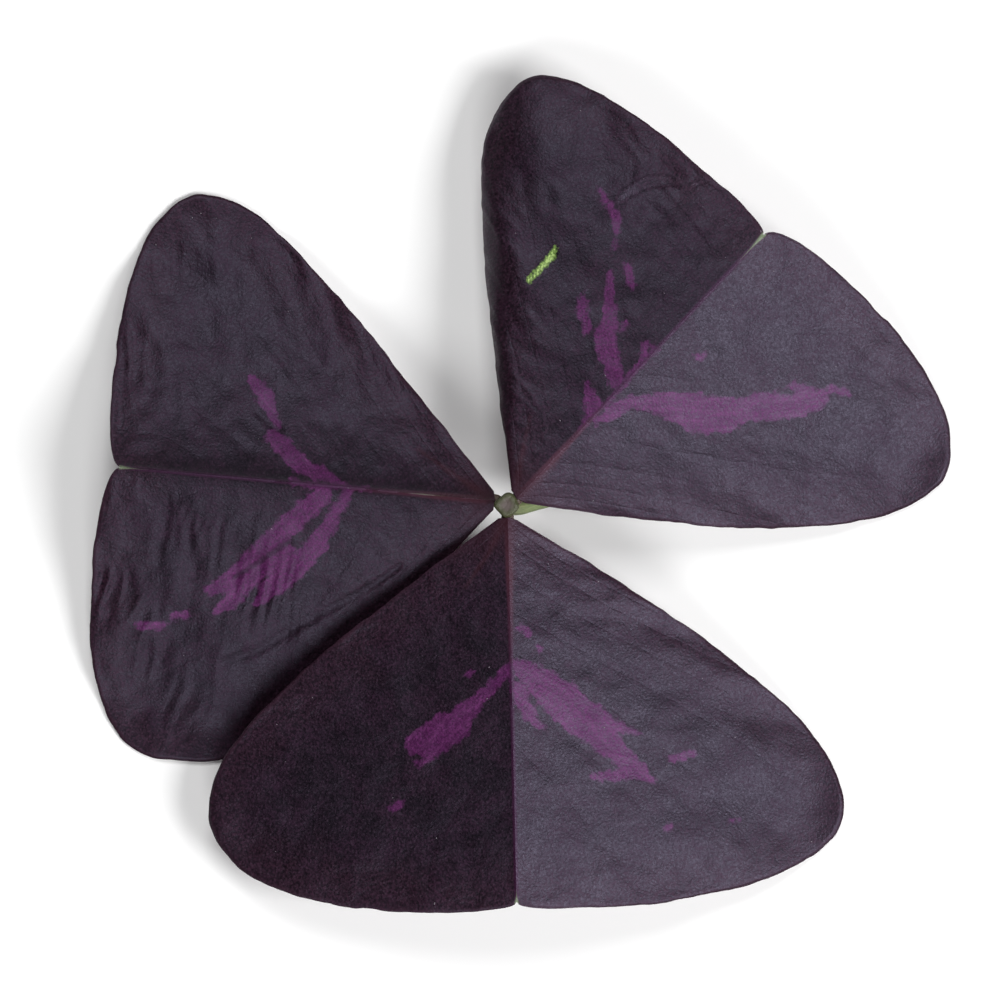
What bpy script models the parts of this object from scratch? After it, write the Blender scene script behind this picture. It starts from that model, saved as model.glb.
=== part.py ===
"""One leaf of a purple shamrock, picked and laid on a surface with its upper side up.

Three heart-shaped leaflets stand like shallow tents round the top of a cut stalk. Each is folded
along its midrib, and the outer lobes droop to the surface that the leaf lies on. The stalk bends
away under the right-hand leaflet and runs along the surface.

Metres, +Z up. The origin is on the surface, in the middle of the leaf's outline. +X is to the
right and +Y is up the page, as the leaf is seen from above.
"""

import math

import bmesh
import bpy
from mathutils import Vector

MM = 0.001

# The blades
THICKNESS = 0.6 * MM
REST = THICKNESS / 2  # height of a blade's middle surface where it lies on the surface
HALF_WIDTH = 24 * MM  # the distance from the midrib at which a half has fallen by its full drop
WAVE_LENGTH = 11 * MM  # of the gentle waves along a margin
RAYS = 38  # rows of faces along each margin, from the base to the notch
STEPS = 6  # rows of faces from the midrib to the margin
RAY_CROWDING = 1.3  # over 1, the rays leave the midrib closer together near the base
BASE_HALF_WIDTH = 0.8  # of a blade where it leaves its hinge, in millimetres
NOTCH_ROUNDING = 0.8  # 0 for a notch cut straight across, 1 for one with square lips

# The midrib, which stands out below the blade and swells into the leaflet's hinge at its base
RIB_RADIUS = 0.42 * MM
RIB_TIP_RADIUS = 0.16 * MM
RIB_SINK = 0.30 * MM  # how far the rib's centre lies below the blade's middle surface
RIB_END = 0.95  # share of the blade's length at which the rib fades out
HINGE_RADIUS = 0.60 * MM
HINGE_REACH = 0.10 * MM  # how far the hinge stands out of the blade's base, towards the stalk

# The stalk
KNOB_RADIUS = 0.68 * MM
KNOB_TOP = 10.35 * MM
KNOB_HEIGHT = 1.5 * MM
STALK_RADIUS = 0.62 * MM

# Where the stalk's centre line runs from the knob: x, y and height, in millimetres
STALK_ROUTE = (
    (0.0, 0.0, 9.7),
    (0.0, 0.0, 8.8),
    (0.3, -0.2, 7.8),
    (1.1, -0.2, 6.8),
    (2.4, 0.15, 5.7),
    (4.3, 0.65, 4.4),
    (7.3, 1.5, 2.8),
    (11.0, 2.6, 1.4),
    (15.0, 3.8, 0.78),
    (20.0, 5.3, 0.64),
    (27.0, 7.6, 0.64),
    (32.5, 9.6, 0.64),
)

# Each leaflet in its own frame: x runs out along the midrib, y to the left of it. "left" and
# "right" are its halves as seen from its base. A half's margin starts "start" along the midrib,
# leaves at "side_angle" to it, rounds the "lobe", where it is farthest from the midrib, and the
# "front", where it reaches farthest out, and runs in to the notch. Places are (distance along the
# midrib, distance from it) in millimetres. "side" and "round" say how full its two turns are: 0 is
# a straight cut and 1 nearly a corner. "drop" is how far the half falls from the midrib to its
# lobe, and "flare" bends that fall: under 1 it is steepest beside the midrib, over 1 it is
# steepest at the margin.
LEAFLETS = {
    "leaflet_left": {
        "base": (-0.98, 0.36),
        "heading": 174.9,
        "length": 31.4,
        "ridge": (9.6, 8.0),
        "arch": 0.5,
        "left": {
            "start": 0.1,
            "side_angle": 52.0,
            "lobe": (26.1, 24.4),
            "front": (33.3, 10.5),
            "side": 1.0,
            "round": 0.62,
            "drop": 9.7,
            "flare": 0.85,
            "wave": 0.20,
            "curl": 0.0,
        },
        "right": {
            "start": 0.2,
            "side_angle": 47.0,
            "lobe": (26.9, 23.7),
            "front": (33.0, 9.0),
            "side": 0.88,
            "round": 0.60,
            "drop": 9.7,
            "flare": 0.70,
            "wave": 0.25,
            "curl": 0.0,
        },
    },
    "leaflet_right": {
        "base": (0.82, 0.55),
        "heading": 46.9,
        "length": 30.1,
        "ridge": (9.7, 8.6),
        "arch": 0.6,
        "left": {
            "start": 0.2,
            "side_angle": 50.5,
            "lobe": (25.3, 23.8),
            "front": (30.8, 4.0),
            "side": 0.90,
            "round": 0.65,
            "drop": 3.6,
            "flare": 1.10,
            "wave": 0.25,
            "curl": 1.6,
        },
        "right": {
            "start": 0.2,
            "side_angle": 56.0,
            "lobe": (25.5, 25.4),
            "front": (32.3, 10.5),
            "side": 0.70,
            "round": 0.55,
            "drop": 9.9,
            "flare": 0.95,
            "wave": 0.15,
            "curl": 0.0,
        },
    },
    "leaflet_front": {
        "base": (0.08, -1.00),
        "heading": -88.7,
        "length": 32.1,
        "ridge": (9.9, 9.5),
        "arch": 0.3,
        "left": {
            "start": 0.3,
            "side_angle": 58.5,
            "lobe": (25.2, 28.0),
            "front": (32.9, 6.5),
            "side": 0.70,
            "round": 0.60,
            "drop": 10.1,
            "flare": 1.0,
            "wave": 0.15,
            "curl": 0.0,
        },
        "right": {
            "start": 0.1,
            "side_angle": 55.0,
            "lobe": (24.5, 25.8),
            "front": (32.9, 7.0),
            "side": 0.80,
            "round": 0.60,
            "drop": 5.9,
            "flare": 1.0,
            "wave": 0.15,
            "curl": 0.0,
        },
    },
}


def clear_scene():
    for obj in list(bpy.data.objects):
        bpy.data.objects.remove(obj, do_unlink=True)


def new_collection(name):
    collection = bpy.data.collections.new(name)
    bpy.context.scene.collection.children.link(collection)
    return collection


def new_material(name, colour, roughness):
    material = bpy.data.materials.new(name)
    material.use_nodes = True
    shader = material.node_tree.nodes["Principled BSDF"]
    shader.inputs["Base Color"].default_value = (*colour, 1.0)
    shader.inputs["Roughness"].default_value = roughness
    shader.inputs["Metallic"].default_value = 0.0
    material.diffuse_color = (*colour, 1.0)
    return material


def smooth_line(points, pieces):
    """A smooth line through the points (Catmull-Rom), as many short pieces between each two."""
    points = [Vector(p) for p in points]
    points = [2 * points[0] - points[1], *points, 2 * points[-1] - points[-2]]
    line = []
    for before, start, end, after in zip(points, points[1:], points[2:], points[3:]):
        for n in range(pieces):
            t = n / pieces
            line.append(
                0.5
                * (
                    2 * start
                    + (end - before) * t
                    + (2 * before - 5 * start + 4 * end - after) * t**2
                    + (3 * start - before - 3 * end + after) * t**3
                )
            )
    return [*line, points[-2]]


def bend(start, start_handle, end_handle, end, pieces=16):
    """A cubic curve from start towards end, without its last point."""
    line = []
    for n in range(pieces):
        t = n / pieces
        first, second, third = (1 - t) ** 3, 3 * (1 - t) ** 2 * t, 3 * (1 - t) * t**2
        line.append(first * start + second * start_handle + third * end_handle + t**3 * end)
    return line


def half_margin(leaflet, half):
    """A half's margin from its base to the notch, as three curves, in metres."""
    base = Vector((half["start"], BASE_HALF_WIDTH)) * MM
    lobe = Vector(half["lobe"]) * MM
    front = Vector(half["front"]) * MM
    notch = Vector((leaflet["length"], 0.0)) * MM
    slope = math.tan(math.radians(half["side_angle"]))
    shoulder = Vector((base.x + (lobe.y - base.y) / slope, lobe.y))
    corner = Vector((front.x, lobe.y))
    lip = notch.lerp(Vector((front.x, 0.0)), NOTCH_ROUNDING)
    side, turn = half["side"], half["round"]
    return [
        *bend(base, base.lerp(shoulder, side), lobe.lerp(shoulder, side), lobe),
        *bend(lobe, lobe.lerp(corner, turn), front.lerp(corner, turn), front),
        *bend(front, front.lerp(Vector((front.x, 0.0)), 0.5), lip, notch),
        notch,
    ]


def evenly(line, count):
    """count + 1 points along the line, the same distance apart."""
    lengths = [0.0]
    for start, end in zip(line, line[1:]):
        lengths.append(lengths[-1] + (end - start).length)
    spread, at = [], 0
    for n in range(count + 1):
        wanted = lengths[-1] * n / count
        while at < len(line) - 2 and lengths[at + 1] < wanted:
            at += 1
        share = (wanted - lengths[at]) / (lengths[at + 1] - lengths[at])
        spread.append(line[at].lerp(line[at + 1], min(share, 1.0)))
    return spread


def ridge_height(leaflet, along):
    """Height of the fold at a distance along the midrib."""
    start, end = leaflet["ridge"]
    share = max(along / (leaflet["length"] * MM), 0.0)
    arch = leaflet["arch"] * 4 * share * (1 - share)
    return (start + (end - start) * share + arch) * MM


def blade_height(leaflet, half, foot, point, margin_share, out):
    """Height of the blade's middle surface. foot is the ray's start on the midrib, margin_share
    how far round the margin its end is, and out how far along the ray the point is, 0 to 1."""
    across = max(point.y, 0.0) / HALF_WIDTH
    height = ridge_height(leaflet, foot + (point.x - foot) * 0.5)
    height -= half["drop"] * MM * across ** half["flare"]
    waves = math.sin(2 * math.pi * margin_share * half["margin_length"] / WAVE_LENGTH)
    taper = math.sin(math.pi * min(margin_share, 1.0))
    height += half["wave"] * MM * waves * taper * out**2
    curled = math.sin(math.pi * min(margin_share / 0.75, 1.0))
    height -= half["curl"] * MM * curled * out**6
    return max(height, REST)


def blade_mesh(name, leaflet):
    """The blade's middle surface: rays from the midrib to the margin on both sides of the fold."""
    mesh = bmesh.new()
    feet = [leaflet["length"] * MM * (n / RAYS) ** RAY_CROWDING for n in range(RAYS + 1)]
    for side, sign in (("left", 1), ("right", -1)):
        half = leaflet[side]
        margin = half_margin(leaflet, half)
        half["margin_length"] = sum((b - a).length for a, b in zip(margin, margin[1:]))
        rows = []
        for n, end in enumerate(evenly(margin, RAYS)):
            foot = Vector((feet[n], 0.0))
            row = []
            for step in range(STEPS + 1):
                out = step / STEPS
                point = foot.lerp(end, out)
                height = blade_height(leaflet, half, foot.x, point, n / RAYS, out)
                row.append(mesh.verts.new((point.x, sign * point.y, height)))
            rows.append(row)
        for low, high in zip(rows[:-1], rows[1:]):
            for step in range(STEPS):
                corners = [low[step], high[step], high[step + 1], low[step + 1]]
                if sign > 0:
                    corners.reverse()
                mesh.faces.new((corners[0], corners[1], corners[2]))
                mesh.faces.new((corners[0], corners[2], corners[3]))
    bmesh.ops.remove_doubles(mesh, verts=mesh.verts, dist=0.00001)
    bmesh.ops.dissolve_degenerate(mesh, edges=mesh.edges, dist=0.000005)
    data = bpy.data.meshes.new(name)
    mesh.to_mesh(data)
    mesh.free()
    return data


def tube(name, points, radii, collection, sides=2):
    """A closed mesh tube along the points, with a radius at each of them."""
    curve = bpy.data.curves.new(name, "CURVE")
    curve.dimensions = "3D"
    curve.bevel_depth = 1.0
    curve.bevel_resolution = sides
    curve.use_fill_caps = True
    spline = curve.splines.new("POLY")
    spline.points.add(len(points) - 1)
    for control, point, radius in zip(spline.points, points, radii):
        control.co = (*point, 1.0)
        control.radius = radius
    path = bpy.data.objects.new(name + "_path", curve)
    collection.objects.link(path)
    bpy.context.view_layer.update()
    graph = bpy.context.evaluated_depsgraph_get()
    solid = bpy.data.meshes.new_from_object(path.evaluated_get(graph))
    welded = bmesh.new()
    welded.from_mesh(solid)
    bmesh.ops.remove_doubles(welded, verts=welded.verts, dist=0.000001)
    bmesh.ops.recalc_face_normals(welded, faces=welded.faces)
    welded.to_mesh(solid)
    welded.free()
    obj = bpy.data.objects.new(name, solid)
    obj.matrix_world = path.matrix_world
    collection.objects.link(obj)
    bpy.data.objects.remove(path, do_unlink=True)
    return obj


def hide(obj):
    """Marks a piece that only joins another, so that it is no node of its own."""
    obj.hide_render = True
    obj.display_type = "WIRE"


def join(obj, other):
    union = obj.modifiers.new("join " + other.name, "BOOLEAN")
    union.operation = "UNION"
    union.solver = "EXACT"
    union.object = other
    hide(other)


def midrib(name, leaflet, helpers):
    """The rib below the fold, from the swollen hinge at the leaflet's base to near the notch."""
    length = leaflet["length"] * MM
    stations = [-HINGE_REACH, 0.0, 0.4 * MM, 0.9 * MM, 1.8 * MM]
    stations += [length * RIB_END * share for share in (0.12, 0.25, 0.4, 0.55, 0.7, 0.85, 1.0)]
    points, radii = [], []
    for along in stations:
        share = max(along, 0.0) / (length * RIB_END)
        swell = math.exp(-((along / (0.9 * MM)) ** 2))
        points.append((along, 0.0, ridge_height(leaflet, along) - RIB_SINK))
        thin = RIB_RADIUS + (RIB_TIP_RADIUS - RIB_RADIUS) * share
        radii.append(thin + (HINGE_RADIUS - RIB_RADIUS) * swell)
    return tube(name + "_midrib", points, radii, helpers)


def make_leaflet(name, leaflet, leaf, parts, helpers, material):
    obj = bpy.data.objects.new(name, blade_mesh(name, leaflet))
    obj.data.materials.append(material)
    parts.objects.link(obj)
    wall = obj.modifiers.new("blade thickness", "SOLIDIFY")
    wall.thickness = THICKNESS
    wall.offset = 0.0
    wall.use_even_offset = True
    rib = midrib(name, leaflet, helpers)
    join(obj, rib)
    x, y = leaflet["base"]
    for piece in (obj, rib):
        piece.parent = leaf
        piece.location = (x * MM, y * MM, 0.0)
        piece.rotation_euler = (0.0, 0.0, math.radians(leaflet["heading"]))
    return obj


def make_stalk(leaf, parts, helpers, material):
    """The cut stalk, with the knob at its top that the three leaflets grow from."""
    drum = bmesh.new()
    bmesh.ops.create_cone(
        drum,
        cap_ends=True,
        segments=20,
        radius1=KNOB_RADIUS,
        radius2=KNOB_RADIUS,
        depth=KNOB_HEIGHT,
    )
    knob = bpy.data.objects.new("knob", bpy.data.meshes.new("knob"))
    drum.to_mesh(knob.data)
    drum.free()
    helpers.objects.link(knob)
    knob.location = (0.0, 0.0, KNOB_TOP - KNOB_HEIGHT / 2)
    round_edge = knob.modifiers.new("round edge", "BEVEL")
    round_edge.width = 0.3 * MM
    round_edge.segments = 3

    route = evenly(smooth_line([Vector(p) * MM for p in STALK_ROUTE], 8), 36)
    stalk = tube("stalk", route, [STALK_RADIUS] * len(route), parts, sides=3)
    stalk.data.materials.append(material)
    join(stalk, knob)
    for piece in (stalk, knob):
        piece.parent = leaf
    return stalk


def lay_on_surface(leaf, objects):
    """Moves the whole leaf so that it lies at height zero with its middle over the origin."""
    bpy.context.view_layer.update()
    graph = bpy.context.evaluated_depsgraph_get()
    places = []
    for obj in objects:
        evaluated = obj.evaluated_get(graph)
        places += [evaluated.matrix_world @ vert.co for vert in evaluated.data.vertices]
    for axis in (0, 1):
        along = [place[axis] for place in places]
        leaf.location[axis] -= (min(along) + max(along)) / 2
    leaf.location.z -= min(place.z for place in places)


def main():
    clear_scene()
    parts = new_collection("purple_shamrock")
    helpers = new_collection("joined_shapes")
    blade = new_material("leaf_purple", (0.028, 0.016, 0.028), 0.55)
    green = new_material("stalk_green", (0.16, 0.19, 0.09), 0.5)

    leaf = bpy.data.objects.new("leaf", None)
    parts.objects.link(leaf)
    made = [make_stalk(leaf, parts, helpers, green)]
    for name, leaflet in LEAFLETS.items():
        made.append(make_leaflet(name, leaflet, leaf, parts, helpers, blade))
    lay_on_surface(leaf, made)


main()
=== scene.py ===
import math

import bmesh
import bpy
import numpy as np
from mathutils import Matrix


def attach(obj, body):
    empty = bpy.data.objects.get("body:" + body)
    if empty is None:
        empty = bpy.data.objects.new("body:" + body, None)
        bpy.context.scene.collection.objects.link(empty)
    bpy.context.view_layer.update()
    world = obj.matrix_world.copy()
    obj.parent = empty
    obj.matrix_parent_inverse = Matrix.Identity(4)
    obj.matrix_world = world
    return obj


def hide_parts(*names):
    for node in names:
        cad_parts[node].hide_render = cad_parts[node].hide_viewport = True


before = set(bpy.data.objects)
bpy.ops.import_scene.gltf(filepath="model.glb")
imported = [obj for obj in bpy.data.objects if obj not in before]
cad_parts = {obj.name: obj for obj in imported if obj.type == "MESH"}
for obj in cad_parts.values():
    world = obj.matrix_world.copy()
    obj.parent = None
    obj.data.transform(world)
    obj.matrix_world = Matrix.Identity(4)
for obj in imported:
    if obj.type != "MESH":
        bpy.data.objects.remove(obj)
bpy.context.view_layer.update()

mm = 0.001

# How finely the blades are made, and how they are shaped
blade = {
    "rays": 220,            # rows of faces round each margin
    "steps": 78,            # rows from the midrib to the margin
    "crowding": 1.2,        # over 1, the rows lie closer together beside the midrib
    "footCrowding": 1.3,    # over 1, the rays leave the midrib closer together near the knob
    "curvePieces": 24,      # in each of the three curves of a margin
    "edgePieces": 400,      # of a margin, where distances from it are measured
    "weld": 0.0008,         # mm, points closer than this become one
    "thickness": 0.34,      # mm in the middle
    "edgeThickness": 0.14,  # mm at the margin
    "thinRim": 0.7,         # mm from the margin, where it starts to thin
    "smoothRim": 0.8,       # mm from the margin, where the relief starts to fade
    "rimWidth": 0.25,       # mm from the margin, where the upper face starts to drop
    "rimDrop": 0.05,        # mm, how far it does
    "bulge": 0.05,          # mm that the edge's middle stands out on a ray 12 mm long
    "bulgeLimit": 0.06,     # mm
    "halfWidth": 24.0,      # mm from the midrib at which a half has fallen by its full drop
    "waveLength": 11.0,     # mm, of the waves along a margin
    "curlEnd": 0.75,        # share of a margin, from the base, that can curl down
    "rest": 0.3,            # mm, height of the solid's middle where it lies on the surface
    "restBlend": 0.5,       # mm, how softly a lobe comes down onto the surface
    "baseHalfWidth": 0.8,   # mm, of a blade where it leaves its hinge
    "notchRounding": 0.8,   # 0 for a notch cut straight across, 1 for one with square lips
    "ripple": 0.11,         # mm, small unevenness of a margin
    "rippleLength": 2.2,    # mm
    "veins": 9,             # side veins in each half
    "veinBend": 0.24,       # how far a vein sweeps forward on its way to the margin
}

# Each leaflet in its own frame, in mm: x runs out along the midrib and y to the left of it.
# A half's margin starts "start" along the midrib, leaves at "sideAngle" to it, rounds the "lobe",
# where it is farthest from the midrib, and the "front", where it reaches farthest out, and runs in
# to the notch. "side" and "round" say how full its two turns are. Strokes are (x, y, radius), and a
# stroke with a radius below 0 is only a faint trace. Dimples are (x, y, radius, depth).
leaflets = {}

leaflets["leaflet_left"] = {
    "base": (-0.98, 0.36), "heading": 174.9, "length": 31.4, "ridge": (9.6, 8.0), "arch": 0.5,
    "halves": {
        1: {"start": 0.1, "sideAngle": 52.0, "lobe": (26.1, 24.4), "front": (33.3, 10.5),
            "side": 1.0, "round": 0.62, "drop": 9.7, "flare": 0.85, "wave": 0.20,
            "wrinkles": 1.0, "pucker": 0.85},
        -1: {"start": 0.2, "sideAngle": 47.0, "lobe": (26.9, 23.7), "front": (33.0, 9.0),
             "side": 0.88, "round": 0.60, "drop": 9.7, "flare": 0.70, "wave": 0.25,
             "wrinkles": 0.45, "pucker": 0.95},
    },
    "flames": [
        [(12.3, 0.3, 0.5), (13.4, 2.6, 0.6), (14.6, 5, 0.9), (16.3, 7, 1), (18, 8.8, 1),
         (19.1, 10.1, 0.5)],
        [(14.4, 0.8, 0.8), (16.2, 2.6, 0.9), (17.8, 4.6, 1), (19.5, 6.6, 1), (21.2, 8.5, 1),
         (23.3, 9.7, 0.4)],
        [(17.2, 6.2, 1), (19.6, 8, 0.8), (21, 9.9, 0.8), (22.6, 11.4, 0.3)],
        [(25.2, 11.8, 0.35), (26.2, 12.3, 0.3)],
        [(27.2, 13, 0.35), (28.9, 13.3, 0.4)],
        [(12.6, 0, 0.4), (14.6, -0.9, 0.6), (16.4, -1.5, 0.8), (17.7, -2.7, 0.75), (19.2, -3.8, 0.6)],
        [(18.7, -4.6, 0.25), (19.5, -6.1, 0.6), (20.4, -7.5, 0.75), (21.4, -8.6, 0.4)],
        [(10.5, 0, 0.2), (17, 0, 0.3)],
    ],
    "flameHoles": [[(15.1, 3.3, 0.2), (16.3, 4.8, 0.4)]],
    # darkLines are creases: the blade sinks along them, and its colour darkens there, partly the leaf's own
    # dark lines and partly painted shade in the crease
    "darkLines": [
        [(7.5, 6.2, 0.1), (9.5, 7.9, 0.15), (12, 9.6, 0.2), (14.4, 11.2, 0.22), (17, 13, 0.25),
         (18.8, 14.4, 0.22), (21.6, 15.6, 0.15)],
        [(17, 5, 0.2), (19.3, 6.9, 0.18), (21.3, 8.4, 0.12)],
        [(18.6, -4.2, 0.15), (20.6, -5.6, 0.15)],
    ],
    "redLines": [
        [(0.4, -0.2, 0.5), (3.5, -1.8, 0.16), (6.8, -3.7, 0.02)],
        [(0, 0.1, 0.45), (2, 0.1, 0.22), (8, 0.1, 0.08), (12, 0.1, 0.02)],
    ],
    "greenLines": [[(29, 0, -0.12), (30.4, 0, -0.04), (31.5, 0, 0.10)],
                   [(4, 0, -0.10), (6, 0, -0.04), (8, 0, -0.12)]],
    "dimples": [(20.4, -12.1, 0.7, 0.12), (24, -16.6, 0.8, 0.10), (20, -4.4, 0.6, 0.06),
                (24.3, -8, 0.7, 0.07)],
}

leaflets["leaflet_right"] = {
    "base": (0.82, 0.55), "heading": 46.9, "length": 30.1, "ridge": (9.7, 8.6), "arch": 0.6,
    "halves": {
        1: {"start": 0.2, "sideAngle": 50.5, "lobe": (25.3, 23.8), "front": (30.8, 4.0),
            "side": 0.90, "round": 0.65, "drop": 3.6, "flare": 1.10, "wave": 0.25, "curl": 2.3,
            "wrinkles": 0.30, "pucker": 0.9},
        -1: {"start": 0.2, "sideAngle": 56.0, "lobe": (25.5, 25.4), "front": (32.3, 10.5),
             "side": 0.70, "round": 0.55, "drop": 9.4, "flare": 0.95, "wave": 0.15,
             "wrinkles": 0.12, "pucker": 0.7},
    },
    "flames": [
        [(7.8, 0.1, 0.2), (10.4, 0.5, 0.5)],
        [(9.6, 0.7, 0.5), (10.6, 1.7, 0.45), (11, 2.2, 0.2)],
        [(10.5, -0.1, 0.2), (17, 0.2, 0.3)],
        [(12.8, 0.6, 0.7), (13.9, 2.4, 0.8), (14.8, 3.9, 1), (16.3, 4.6, 0.6), (18, 6.1, 0.4),
         (19, 7.1, 0.25)],
        [(14.4, 5.4, 0.35), (15.3, 6.8, 0.5), (16.2, 7.6, 0.3)],
        [(20.4, 8.1, 0.15), (21.9, 9.1, 0.2), (22.9, 10, 0.4), (23.3, 11.6, 0.35),
         (23.7, 12.7, 0.15)],
        [(19.5, 5.2, 0.35), (20.4, 6.6, 0.3)],
        [(16.2, 0.6, 0.4), (16.6, 0.8, 0.4)],
        [(16.4, 3.2, 0.2), (16.8, 3.3, 0.2)],
        [(9.4, -0.5, 0.35), (11, -1, 0.6), (12.6, -1.5, 0.6), (13.4, -2.8, 0.7)],
        [(13.4, -2.6, 0.7), (14.6, -4.3, 1.2), (15.6, -6.2, 1.7), (16.8, -7.8, 1.5), (18.6, -8.8, 1.1),
         (20.2, -10.2, 1.2), (21.6, -11.7, 1), (23.2, -12.7, 0.9), (24.2, -13, 0.4)],
        [(22.8, -10.5, 0.4), (23.3, -11.9, 0.6)],
        [(24.8, -13.1, 0.3), (25.6, -14.4, 0.3)],
        [(19, -3, 0.3), (19.4, -3.3, 0.25)],
    ],
    "redLines": [
        [(0.4, 0.5, 0.4), (3, 2.2, 0.16), (5.8, 3.9, 0.02)],
        [(0, 0, 0.5), (2, -0.3, 0.35), (5, -0.2, 0.10), (8, 0, 0.02)],
    ],
    "greenLines": [[(26.6, 0, -0.12), (28.6, 0, -0.02), (30.2, 0, 0.14)]],
    "scars": [[(14, 11.7, 0.20), (15.4, 11.7, 0.24), (16.8, 11.7, 0.30), (17.6, 12, 0.10)]],
    "creases": [[(23.2, 10.2), (24.6, 10.7), (26.4, 10.3), (27.8, 9.2), (28.9, 7.4)]],
    "dimples": [(20.6, 12.8, 0.7, 0.12), (16.3, 0.9, 0.5, 0.06)],
}

leaflets["leaflet_front"] = {
    "base": (0.08, -1.00), "heading": -88.7, "length": 32.1, "ridge": (9.9, 9.5), "arch": 0.3,
    "halves": {
        1: {"start": 0.3, "sideAngle": 58.5, "lobe": (25.2, 28.0), "front": (32.9, 6.5),
            "side": 0.70, "round": 0.60, "drop": 9.0, "flare": 1.0, "wave": 0.15,
            "wrinkles": 0.10, "pucker": 0.6},
        -1: {"start": 0.1, "sideAngle": 55.0, "lobe": (24.5, 25.8), "front": (32.9, 7.0),
             "side": 0.80, "round": 0.60, "drop": 5.9, "flare": 1.0, "wave": 0.15,
             "wrinkles": 0.2, "pucker": 0.8},
    },
    "flames": [
        [(12.3, 0.3, 0.6), (13.5, 2, 1.1), (15, 3.7, 1.6), (16.8, 5.6, 1.6), (18.6, 7.5, 1.3),
         (20.3, 9.1, 0.9), (21.6, 10.4, 0.8), (22.4, 11.7, 0.25)],
        [(16.4, 7, 0.7), (17.7, 8.6, 0.5), (18.4, 10.7, 0.15)],
        [(14.3, 0.6, 0.6), (16.4, 1.3, 0.6), (17.6, 2.4, 0.3)],
        [(21.9, 6.8, 0.35), (22, 8.4, 0.5), (21.4, 9.7, 0.5)],
        [(9.3, 0.7, 0.3), (9.8, 1.6, 0.3)],
        [(10.8, 2.3, 0.2), (11.2, 2.5, 0.2)],
        [(20.3, 14.9, 0.35), (20.7, 13.5, 0.4)],
        [(26, 18.9, 0.25), (26.2, 18.4, 0.25)],
        [(26.3, 13.1, 0.25), (26.5, 12.7, 0.2)],
        [(12.6, -0.3, 0.4), (14.4, -1.9, 0.5), (16, -3.6, 0.8), (17.4, -5, 1.3),
         (18.3, -6.6, 1.5), (18.9, -8, 1)],
        [(20.1, -6.9, 0.3), (20.4, -8.1, 0.3)],
        [(12.9, -3.2, 0.25), (13.1, -3.7, 0.2)],
        [(23.7, -9.5, 0.35), (24.2, -10.5, 0.25)],
        [(12, 0, 0.2), (14.5, 0, 0.25)],
    ],
    "flameHoles": [[(15.8, 2.2, 0.2), (16.4, 2.5, 0.2)]],
    "redLines": [
        [(0.4, -0.4, 0.45), (3, -1.7, 0.14), (5.8, -3.7, 0.02)],
        [(0, 0.3, 0.5), (2, 0.25, 0.40), (4, 0.2, 0.26), (8, 0.1, 0.16), (12, 0, 0.05)],
    ],
    "greenLines": [[(30.8, 0, -0.12), (31.6, 0, -0.04), (32.2, 0, 0.12)]],
    "dimples": [(28.4, -11.2, 0.7, 0.08), (26, -21, 0.8, 0.08)],
}

stalk = {
    "knobHeight": 10.35,  # mm, of the knob's top before the solid was laid on the surface
    "knobRadius": 0.93,   # mm
    "radius": 0.62,       # mm
    "route": [            # centre line from the knob, mm
        (0.0, 0.0, 9.7), (0.0, 0.0, 8.8), (0.3, -0.2, 7.8), (1.1, -0.2, 6.8), (2.4, 0.15, 5.7),
        (4.3, 0.65, 4.4), (7.3, 1.5, 2.8), (11, 2.6, 1.4), (15, 3.8, 0.78), (20, 5.3, 0.64),
        (27, 7.6, 0.64), (32.5, 9.6, 0.64)],
}

# The knob's top on the solid is where the three leaflets meet
stalkNode = bpy.data.objects["stalk"]
stalkPoints = np.array([tuple(stalkNode.matrix_world @ v.co) for v in stalkNode.data.vertices])
knobTop = stalkPoints[:, 2].max()
hub = stalkPoints[stalkPoints[:, 2] > knobTop - 0.05 * mm].mean(axis=0) / mm
lift = knobTop / mm - stalk["knobHeight"]


# Numbers on a surface

def smoothLine(points, pieces):    # a line through the points, with this many pieces between two of them
    points = np.array(points, float)
    points = np.vstack([2 * points[0] - points[1], points, 2 * points[-1] - points[-2]])
    t = np.linspace(0, 1, pieces, endpoint=False)[:, None]
    line = []
    for a, b, c, d in zip(points, points[1:], points[2:], points[3:]):
        square, cube = 2 * a - 5 * b + 4 * c - d, 3 * b - a - 3 * c + d
        line.append(0.5 * (2 * b + (c - a) * t + square * t**2 + cube * t**3))
    return np.vstack(line + [points[-2:-1]])


def bend(start, startHandle, endHandle, end):    # a cubic curve, without its last point
    t = np.linspace(0, 1, blade["curvePieces"], endpoint=False)[:, None]
    return ((1 - t)**3 * start + 3 * (1 - t)**2 * t * startHandle
            + 3 * (1 - t) * t**2 * endHandle + t**3 * end)


def between(start, end, share):
    return start + (end - start) * share


def evenly(line, count):    # the line in equal steps, and its length
    lengths = np.concatenate([[0], np.cumsum(np.linalg.norm(np.diff(line, axis=0), axis=1))])
    wanted = np.linspace(0, lengths[-1], count + 1)
    return np.stack([np.interp(wanted, lengths, axis) for axis in line.T], 1), lengths[-1]


def halfMargin(leaflet, half):    # base to lobe, lobe to front, front to notch
    base = np.array([half["start"], blade["baseHalfWidth"]])
    lobe, front = np.array(half["lobe"]), np.array(half["front"])
    notch, foot = np.array([leaflet["length"], 0.0]), np.array([front[0], 0.0])
    slope = math.tan(math.radians(half["sideAngle"]))
    shoulder = np.array([base[0] + (lobe[1] - base[1]) / slope, lobe[1]])
    corner = np.array([front[0], lobe[1]])
    side, turn = half["side"], half["round"]
    return np.vstack([
        bend(base, between(base, shoulder, side), between(lobe, shoulder, side), lobe),
        bend(lobe, between(lobe, corner, turn), between(front, corner, turn), front),
        bend(front, between(front, foot, 0.5), between(notch, foot, blade["notchRounding"]), notch),
        notch[None]])


for leaflet in leaflets.values():
    for half in leaflet["halves"].values():
        half["margin"] = halfMargin(leaflet, half)
        half["marginLength"] = evenly(half["margin"], 1)[1]


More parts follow.
